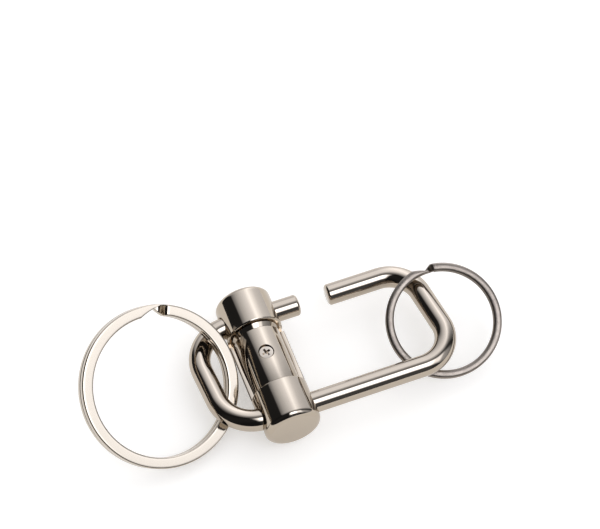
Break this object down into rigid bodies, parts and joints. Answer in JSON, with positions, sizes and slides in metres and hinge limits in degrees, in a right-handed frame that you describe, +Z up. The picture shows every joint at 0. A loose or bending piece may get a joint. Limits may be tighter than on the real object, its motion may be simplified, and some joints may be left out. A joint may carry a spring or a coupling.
{
  "type": "split key ring",
  "caption": "Quick-release key ring: a bent wire bow closed by a sliding spring-detent barrel, with a flat split ring and a small split ring threaded on it.",
  "frame": {"origin": "centre of the bow's free wire end, on the wire's axis", "axes": "+X along the upper leg from the free end towards the right bend, +Y from the lower leg towards the upper leg along the barrel, +Z up from the surface that the key ring lies on"},
  "size_m": [0.0749, 0.0272, 0.0182],
  "materials": {
    "wire_finish": "polished black-nickel plate, warm grey, mirror-like",
    "barrel_finish": "polished black-nickel plate, warm grey, mirror-like",
    "ring_finish": "polished black-nickel plate on flat pressed strip",
    "small_ring_finish": "black-nickel plate, slightly duller than the bow, with a faint purple tone",
    "screw_finish": "polished black-nickel plate",
    "ball_steel": "bright hardened steel",
    "spring_steel": "drawn spring wire"
  },
  "bodies": {
    "bow": {"bow": "wire_finish"},
    "barrel": {"barrel": "barrel_finish", "core": "barrel_finish", "core_screw": "screw_finish", "upper_spring": "spring_steel", "lower_spring": "spring_steel"},
    "upper_ball": {"upper_ball": "ball_steel"},
    "lower_ball": {"lower_ball": "ball_steel"},
    "large_ring": {"large_ring": "ring_finish"},
    "small_ring": {"small_ring": "small_ring_finish"}
  },
  "joints": [
    {"name": "barrel_slide", "type": "slide", "parent": "bow", "child": "barrel", "axis": [1, 0, 0], "range_m": [0, 0.01175]},
    {"name": "upper_ball_press", "type": "slide", "parent": "barrel", "child": "upper_ball", "axis": [0, -1, 0], "range_m": [0, 0.0003], "stiffness_N_per_m": 300, "deforming": ["upper_spring"]},
    {"name": "lower_ball_press", "type": "slide", "parent": "barrel", "child": "lower_ball", "axis": [0, 1, 0], "range_m": [0, 0.0003], "stiffness_N_per_m": 300, "deforming": ["lower_spring"]},
    {"name": "large_ring_swing", "type": "hinge", "parent": "bow", "child": "large_ring", "pos_m": [-0.0238, -0.0095, -0.00105], "axis": [0.9785, -0.0273, 0.2045], "range_deg": [0, 110]},
    {"name": "small_ring_swing", "type": "hinge", "parent": "bow", "child": "small_ring", "pos_m": [0.01727, -0.01202, 0], "axis": [0.991, -0.134, 0], "range_deg": [0, 120]}
  ]
}
